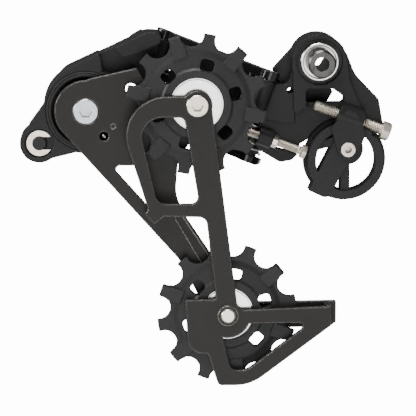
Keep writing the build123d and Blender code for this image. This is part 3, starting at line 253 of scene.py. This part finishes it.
def moulded(name, colour, roughness, grain_scale, rounding):
    """Glass-filled nylon: spark-eroded grain, faint flow marks and paler rubbed corners."""
    finish = Finish(name)
    grain = finish.noise(grain_scale, 3.0, 0.6)
    flow = finish.noise(90.0, 3.0, stretch=(1.0, 1.0, 3.0))
    rubbed = (finish.edges(rounding) * 1.5).above(0.1, 1.0)
    return finish.surface(
        Base_Color=finish.blend(rubbed * 0.5, finish.blend(flow, colour, scaled(colour, 1.35)),
                                scaled(colour, 2.2)),
        Roughness=grain.between(roughness, roughness + 0.14),
        Specular_IOR_Level=0.35,
        Normal=finish.relief(grain, 0.00003, rounding),
    )


def steel(name, colour, roughness, tarnish, rounding=0.00015):
    """Turned or plated steel: fine streaks, spots of tarnish and, where rounded, edges lightened towards
    white as a painted highlight.
    """
    finish = Finish(name)
    streaks = finish.noise(1600.0, 3.0)
    spots = finish.noise(380.0, 4.0, 0.6).above(0.5, 0.75)
    shade = finish.blend(spots * tarnish, colour, scaled(colour, 0.45))
    if rounding:
        # painted highlight: rounded edges are lightened towards near-white, standing in for glints on the
        # chamfers
        bright = (finish.edges(0.0002) * 2.0).above(0.05, 0.8)
        shade = finish.blend(bright * 0.5, shade, (0.9, 0.88, 0.85))
    return finish.surface(
        Base_Color=shade,
        Roughness=streaks.between(roughness * 0.8, roughness * 1.3) + spots * 0.1 * tarnish,
        Metallic=1.0,
        Normal=finish.relief(streaks, 0.000004, rounding),
    )


def rubber(name, colour):
    """Matt seal rubber with a dusty bloom."""
    finish = Finish(name)
    bloom = finish.noise(300.0, 4.0)
    return finish.surface(
        Base_Color=finish.blend(bloom, colour, scaled(colour, 2.0)),
        Roughness=bloom.between(0.6, 0.8),
        Normal=finish.relief(bloom, 0.00002, 0.0003),
    )


def white_paper():
    """The studio's pale floor: faintly mottled matt paper that glows to the eye but lights nothing."""
    finish = Finish("studio_paper")
    mottle = finish.noise(6.0, 3.0)
    seen = finish.add("ShaderNodeLightPath")["Is Camera Ray"]
    return finish.surface(
        Base_Color=finish.blend(mottle, (0.93, 0.93, 0.93), (0.96, 0.96, 0.96)),
        Roughness=mottle.between(0.85, 0.95),
        Emission_Color=finish.blend(seen, (0.03, 0.03, 0.03), (1.0, 1.0, 1.0)),
        Emission_Strength=bpy.context.scene.derailleur_studio.paper_glow,
    )


# ---------------------------------------------------------------- surfaces
def grid_piece(name, points, wrap_u, wrap_v, body, material):
    """A piece from an (n, m, 3) grid of points in metres, closed along u or v where it wraps."""
    n, m = points.shape[:2]
    index = np.arange(n * m).reshape(n, m)
    u = np.arange(n if wrap_u else n - 1)
    v = np.arange(m if wrap_v else m - 1)
    first, second = u[:, None], v[None, :]
    quads = np.stack([
        index[first, second], index[(first + 1) % n, second],
        index[(first + 1) % n, (second + 1) % m], index[first, (second + 1) % m]], axis=-1).reshape(-1, 4)
    mesh = bpy.data.meshes.new(name)
    mesh.from_pydata(points.reshape(-1, 3), [], quads)
    mesh.validate()
    piece = bpy.data.objects.new(name, mesh)
    bpy.context.scene.collection.objects.link(piece)
    mesh.materials.append(material)
    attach(piece, body)
    finish_mesh(mesh)
    return piece


def turned(start, axis, side, along, r, angle):
    """A grid of points in metres, from millimetres along an axis and radii round it.

    At distance s, radius R and angle a a point is start + s axis + R (cos a side + sin a other),
    where other is square to both directions.
    """
    around = (np.cos(angle)[None, :, None] * side
              + np.sin(angle)[None, :, None] * np.cross(axis, side))
    return (np.array(start) + along[:, None, None] * axis + r[..., None] * around) * MM


def threaded_screw(name, start, shank, thread, pitch, head, body, material, turns=48):
    """A screw turned about REARWARD, from its chamfered tip to the bottom of its round socket.

    The shank is its (length, radius) and the head its (length, radius, socket radius), in
    millimetres. The profile's points are (distance s along the axis, radius R). Inside the thread's
    span the radius at angle a is R - depth * |2 frac(s / pitch - a / 2 pi) - 1|, a V groove that
    climbs one pitch a turn, and it runs out smoothly at both ends.
    """
    length, radius = shank
    head_length, head_radius, socket = head
    top = length + head_length
    bottom = top - head_length * SOCKET_DEPTH
    tip = [(0, 0), (0, radius - TIP_CHAMFER), (TIP_CHAMFER, radius)]
    body_line = [(s, radius) for s in np.arange(TIP_CHAMFER + 0.1, length, pitch / 12)]
    cap = [(length, radius), (length, head_radius - 0.25), (length + 0.25, head_radius),
           (top - HEAD_CHAMFER, head_radius), (top, head_radius - HEAD_CHAMFER),
           (top, socket + 0.15), (top - 0.15, socket), (bottom, socket), (bottom, 0)]
    along, r = np.array(tip + body_line + cap).T
    angle = np.linspace(0, 2 * pi, turns, endpoint=False)
    phase = along[:, None] / pitch - angle[None, :] / (2 * pi)
    groove = np.abs(2 * (phase - np.floor(phase)) - 1)
    span = (np.clip((along - thread[0]) / pitch, 0, 1) * np.clip((thread[1] - along) / pitch, 0, 1)
            * (along < length))
    r = r[:, None] - THREAD_DEPTH * pitch * groove * span[:, None]
    points = turned(start, REARWARD, OUTBOARD, along, r, angle)
    return grid_piece(name, points, False, True, body, material)


def rod(name, start, end, radius, body, material):
    """A round-ended rod between two points in millimetres.

    At distance s along it the radius is R sqrt(1 - (1 - s / R) ** 2) within R of either end.
    """
    start, end = np.array(start), np.array(end)
    length = np.linalg.norm(end - start)
    axis = (end - start) / length
    side = np.cross(axis, OUTBOARD)
    side /= np.linalg.norm(side)
    cap = radius * (1 - np.cos(np.linspace(0, pi / 2, 9)))
    along = np.concatenate([cap, (length - cap)[::-1]])
    r = radius * np.sqrt(np.clip(1 - (1 - np.minimum(along, length - along) / radius) ** 2, 0, 1))
    angle = np.linspace(0, 2 * pi, 24, endpoint=False)
    points = turned(start, axis, side, along, r[:, None], angle)
    return grid_piece(name, points, False, True, body, material)


def hexagonal_collar(name, start, length, across_flats, bore_r, body, material):
    """A hexagonal collar round an adjusting screw, in millimetres.

    Its outside radius at angle a is half the flats' distance over cos(((a + 30) mod 60) - 30),
    held inside a circle 8 per cent wider than the flats, which rounds its corners.
    """
    angle = np.linspace(0, 2 * pi, 72, endpoint=False)
    turn = np.mod(angle + pi / 6, pi / 3) - pi / 6
    hexagon = np.minimum(across_flats / 2 / np.cos(turn), across_flats / 2 * 1.08)
    inside = np.full_like(hexagon, bore_r)
    chamfered = hexagon - COLLAR_CHAMFER
    loops = ((0.0, inside), (0.0, chamfered), (COLLAR_CHAMFER, hexagon),
             (length - COLLAR_CHAMFER, hexagon), (length, chamfered), (length, inside))
    along = np.array([s for s, _ in loops])
    r = np.stack([radii for _, radii in loops])
    points = turned(start, REARWARD, OUTBOARD, along, r, angle)
    return grid_piece(name, points, True, True, body, material)


def finish_mesh(mesh):
    """Merges a mesh's poles, points its faces outwards and smooths all but its sharp edges."""
    work = bmesh.new()
    work.from_mesh(mesh)
    bmesh.ops.remove_doubles(work, verts=work.verts, dist=1e-7)
    bmesh.ops.recalc_face_normals(work, faces=work.faces)
    work.to_mesh(mesh)
    work.free()
    mesh.shade_smooth()
    mesh.set_sharp_from_angle(angle=SMOOTH_UNDER)


def paint(material, *nodes):
    """Gives CAD nodes their finish."""
    for node in nodes:
        for slot in NODES[node].material_slots:
            slot.material = material


# ---------------------------------------------------------------- settings
class StudioSettings(bpy.types.PropertyGroup):
    lens: bpy.props.FloatProperty(
        name="Lens", description="Camera's focal length", default=199.0, unit="CAMERA")
    camera_place: bpy.props.FloatVectorProperty(
        name="Camera", description="Where the camera stands", default=(-0.0837, -0.8248, 0.0778),
        subtype="TRANSLATION", unit="LENGTH")
    camera_target: bpy.props.FloatVectorProperty(
        name="Aim", description="Point in the middle of the view", default=(-0.0408, -0.0061, -0.0520),
        subtype="TRANSLATION", unit="LENGTH")
    soft_light: bpy.props.FloatProperty(
        name="Soft light", description="Power of the studio's large lamps", default=1.0, min=0.0)
    sky: bpy.props.FloatProperty(
        name="Fill", description="Strength of the even light all round", default=0.12, min=0.0)
    paper_glow: bpy.props.FloatProperty(
        name="Paper glow", description="Glow of the paper and the background", default=14.0, min=0.0)


class FinishSettings(bpy.types.PropertyGroup):
    plate_black: bpy.props.FloatVectorProperty(
        name="Plates", description="Anodised cage plates", default=(0.013, 0.0118, 0.0105), subtype="COLOR")
    forged_black: bpy.props.FloatVectorProperty(
        name="Knuckles", description="Coating of the forged knuckles", default=(0.0075, 0.0075, 0.0075),
        subtype="COLOR")
    gloss_black: bpy.props.FloatVectorProperty(
        name="Links", description="Gloss paint of the links", default=(0.004, 0.004, 0.004),
        subtype="COLOR")
    nylon: bpy.props.FloatVectorProperty(
        name="Nylon", description="Guide, cover and button", default=(0.010, 0.010, 0.0105), subtype="COLOR")
    pulley: bpy.props.FloatVectorProperty(
        name="Pulleys", description="Composite of the pulleys", default=(0.0125, 0.0125, 0.013),
        subtype="COLOR")
    steel: bpy.props.FloatVectorProperty(
        name="Bright steel", description="Plated screws and clips", default=(0.66, 0.60, 0.52),
        subtype="COLOR")
    # edge wear also scales the painted highlight along the plates' edges
    wear: bpy.props.FloatProperty(
        name="Edge wear", description="How far the plates' edges are rubbed bright", default=1.0, min=0.0)


# ---------------------------------------------------------------- operators
class DERAILLEUR_OT_cage(bpy.types.Operator):
    """Anodised finish for both cage plates and their stop pin"""
    bl_idname = "derailleur.cage"
    bl_label = "Finish Cage"

    def execute(self, context):
        look = context.scene.derailleur_finish
        # the pale edge colour is rubbed bare metal and also a painted highlight along the chamfers
        plates = anodised_plate("anodised_charcoal", tuple(look.plate_black), (0.32, 0.30, 0.28), look.wear)
        paint(plates, "outer_cage_plate", "inner_cage_plate", "cage_stop_pin")
        return {"FINISHED"}


class DERAILLEUR_OT_knuckles(bpy.types.Operator):
    """Forged finish for the knuckles, nylon for the clutch's cover, and their seals and bushes"""
    bl_idname = "derailleur.knuckles"
    bl_label = "Finish Knuckles"

    def execute(self, context):
        look = context.scene.derailleur_finish
        paint(forged("forged_satin_black", tuple(look.forged_black)), "b_knuckle", "p_knuckle")
        paint(moulded("cover_nylon", tuple(look.nylon), 0.42, 2600.0, 0.0006), "clutch_cover", "lock_button")
        paint(rubber("seal_rubber", (0.012, 0.012, 0.012)), "knuckle_seal")
        paint(moulded("bush_polymer", (0.02, 0.02, 0.02), 0.4, 3000.0, 0.0002), "mount_bush")
        return {"FINISHED"}


class DERAILLEUR_OT_links(bpy.types.Operator):
    """Gloss paint for the links, with their bronze bushes and dark pins"""
    bl_idname = "derailleur.links"
    bl_label = "Finish Links"

    def execute(self, context):
        look = context.scene.derailleur_finish
        paint(lacquer("link_gloss_black", tuple(look.gloss_black), 0.16), "inner_link", "outer_link")
        paint(steel("sintered_bronze", (0.50, 0.33, 0.17), 0.42, 0.7), "inner_link_bushes",
              "outer_link_bushes")
        paint(steel("dark_pin_steel", (0.20, 0.19, 0.18), 0.32, 0.6), "b_inner_pin", "b_outer_pin",
              "p_inner_pin", "p_outer_pin", "cable_clamp_bolt")
        return {"FINISHED"}


class DERAILLEUR_OT_pulleys(bpy.types.Operator):
    """Moulded composite for the pulleys, with polished caps and bearings"""
    bl_idname = "derailleur.pulleys"
    bl_label = "Finish Pulleys"

    def execute(self, context):
        look = context.scene.derailleur_finish
        composite = moulded("pulley_composite", tuple(look.pulley), 0.4, 2200.0, 0.0005)
        polished = steel("polished_cap", (0.80, 0.80, 0.79), 0.18, 0.15)
        races = steel("bearing_steel", (0.62, 0.61, 0.60), 0.16, 0.3)
        for side in ("upper", "lower"):
            paint(composite, f"{side}_pulley")
            paint(polished, f"{side}_dust_caps")
            paint(races, f"{side}_bearing_outer_race", f"{side}_bearing_inner_race",
                  f"{side}_bearing_balls", f"{side}_axle_bush")
        return {"FINISHED"}


class DERAILLEUR_OT_cable_guide(bpy.types.Operator):
    """Fine-grained nylon for the cable guide, and its bright rivet"""
    bl_idname = "derailleur.cable_guide"
    bl_label = "Finish Cable Guide"

    def execute(self, context):
        look = context.scene.derailleur_finish
        paint(moulded("guide_nylon", tuple(look.nylon), 0.45, 2000.0, 0.0005), "cable_guide")
        paint(steel("rivet_steel", tuple(look.steel), 0.3, 0.4), "guide_rivet")
        return {"FINISHED"}


class DERAILLEUR_OT_fasteners(bpy.types.Operator):
    """Steel finishes for bolts, clips, sleeves and springs"""
    bl_idname = "derailleur.fasteners"
    bl_label = "Finish Fasteners"

    def execute(self, context):
        look = context.scene.derailleur_finish
        bright = tuple(look.steel)
        paint(steel("plated_steel", bright, 0.24, 0.35, 0.0001), "upper_axle_bolt", "lower_axle_bolt",
              "cable_clamp_washer", "lock_clip")
        paint(steel("pivot_bolt_steel", (0.52, 0.54, 0.58), 0.3, 0.3), "cage_pivot_bolt")
        paint(steel("sleeve_steel", (0.74, 0.73, 0.71), 0.22, 0.2), "mount_sleeve")
        paint(steel("black_bolt_steel", (0.09, 0.087, 0.084), 0.28, 0.5), "hanger_bolt", "clutch_screws")
        paint(steel("drum_steel", (0.25, 0.24, 0.23), 0.3, 0.5), "clutch_drum", "pivot_shaft")
        paint(steel("spring_wire", (0.30, 0.29, 0.28), 0.34, 0.5), "return_spring", "cage_spring",
              "lock_spring", "clutch_band", "shaft_clip")
        return {"FINISHED"}


class DERAILLEUR_OT_adjusting_screws(bpy.types.Operator):
    """Threaded adjusting screws in place of the plain ones"""
    bl_idname = "derailleur.adjusting_screws"
    bl_label = "Adjusting Screws"

    def execute(self, context):
        plated = steel("screw_steel", tuple(context.scene.derailleur_finish.steel), 0.42, 0.2, 0)
        for node, (outboard, up), start, shank, thread, pitch, head in SCREWS:
            place = REARWARD * start + OUTBOARD * outboard + PIN_AXIS * up
            piece = threaded_screw(f"{node}_threaded", place, shank, thread, pitch, head, node, plated)
            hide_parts(node)
        return {"FINISHED"}


class DERAILLEUR_OT_small_parts(bpy.types.Operator):
    """The spring's end in the cage plate's hole and the collar on the near limit screw"""
    bl_idname = "derailleur.small_parts"
    bl_label = "Small Parts"

    def execute(self, context):
        plated = steel("collar_steel", tuple(context.scene.derailleur_finish.steel), 0.24, 0.3)
        tang = rod("cage_spring_tang", *TANG_ENDS, TANG_R, "cage", plated)
        _, (outboard, up), *_ = SCREWS[1]
        place = REARWARD * COLLAR_START + OUTBOARD * outboard + PIN_AXIS * up
        collar = hexagonal_collar("limit_screw_collar", place, 2.2, 4.6, 1.65, "b_knuckle", plated)
        return {"FINISHED"}


class DERAILLEUR_OT_stage(bpy.types.Operator):
    """A pale paper floor, soft lamps and the camera"""
    bl_idname = "derailleur.stage"
    bl_label = "Studio"

    def execute(self, context):
        studio = context.scene.derailleur_studio
        self.paper()
        self.lamps(context, studio)
        self.camera(context, studio)
        return {"FINISHED"}

    def paper(self):
        """A flat square floor, with no wall, so that it hides the part from no side."""
        corners = [(x * FLOOR_HALF, y * FLOOR_HALF, FLOOR_Z)
                   for x, y in ((-1, -1), (1, -1), (1, 1), (-1, 1))]
        mesh = bpy.data.meshes.new("paper_floor")
        mesh.from_pydata(corners, [], [(0, 1, 2, 3)])
        sheet = bpy.data.objects.new("paper_floor", mesh)
        bpy.context.scene.collection.objects.link(sheet)
        mesh.materials.append(white_paper())

    def lamps(self, context, studio):
        world = bpy.data.worlds.new("studio_fill")
        world.use_nodes = True
        tree = world.node_tree
        seen = add_node(tree, "ShaderNodeLightPath")["Is Camera Ray"]
        strength = seen.between(studio.sky, studio.paper_glow)
        background = tree.nodes["Background"]
        background.inputs["Color"].default_value = (1.0, 1.0, 1.0, 1.0)
        tree.links.new(strength.socket, background.inputs["Strength"])
        context.scene.world = world
        aim = Vector(studio.camera_target)
        for name, place, size, power in LAMPS:
            light = bpy.data.lights.new(name, "AREA")
            light.shape, light.size = "DISK", size
            light.energy = power * studio.soft_light
            lamp = bpy.data.objects.new(name, light)
            lamp.location = place
            lamp.rotation_euler = (aim - Vector(place)).to_track_quat("-Z", "Y").to_euler()
            context.scene.collection.objects.link(lamp)

    def camera(self, context, studio):
        data = bpy.data.cameras.new("view")
        data.lens, data.sensor_width = studio.lens, 36.0
        data.clip_start, data.clip_end = 0.01, 20.0
        camera = bpy.data.objects.new("view", data)
        place = Vector(studio.camera_place)
        camera.location = place
        camera.rotation_euler = (Vector(studio.camera_target) - place).to_track_quat("-Z", "Y").to_euler()
        context.scene.collection.objects.link(camera)
        context.scene.camera = camera


class DERAILLEUR_PT_panel(bpy.types.Panel):
    bl_idname = "DERAILLEUR_PT_panel"
    bl_label = "Rear Derailleur"
    bl_space_type = "VIEW_3D"
    bl_region_type = "UI"
    bl_category = "Derailleur"

    def draw(self, context):
        for settings in (context.scene.derailleur_finish, context.scene.derailleur_studio):
            for name in settings.__annotations__:
                self.layout.prop(settings, name)
        for operator in OPERATORS:
            self.layout.operator(operator.bl_idname)


OPERATORS = (
    DERAILLEUR_OT_cage, DERAILLEUR_OT_knuckles, DERAILLEUR_OT_links, DERAILLEUR_OT_pulleys,
    DERAILLEUR_OT_cable_guide, DERAILLEUR_OT_fasteners, DERAILLEUR_OT_adjusting_screws,
    DERAILLEUR_OT_small_parts, DERAILLEUR_OT_stage)
CLASSES = (StudioSettings, FinishSettings, *OPERATORS, DERAILLEUR_PT_panel)


def register():
    for kind in CLASSES:
        bpy.utils.register_class(kind)
    bpy.types.Scene.derailleur_studio = bpy.props.PointerProperty(type=StudioSettings)
    bpy.types.Scene.derailleur_finish = bpy.props.PointerProperty(type=FinishSettings)


def unregister():
    del bpy.types.Scene.derailleur_finish
    del bpy.types.Scene.derailleur_studio
    for kind in reversed(CLASSES):
        bpy.utils.unregister_class(kind)


def main():
    register()
    for operator in OPERATORS:
        getattr(bpy.ops.derailleur, operator.bl_idname.removeprefix("derailleur."))()


if __name__ == "__main__":
    main()
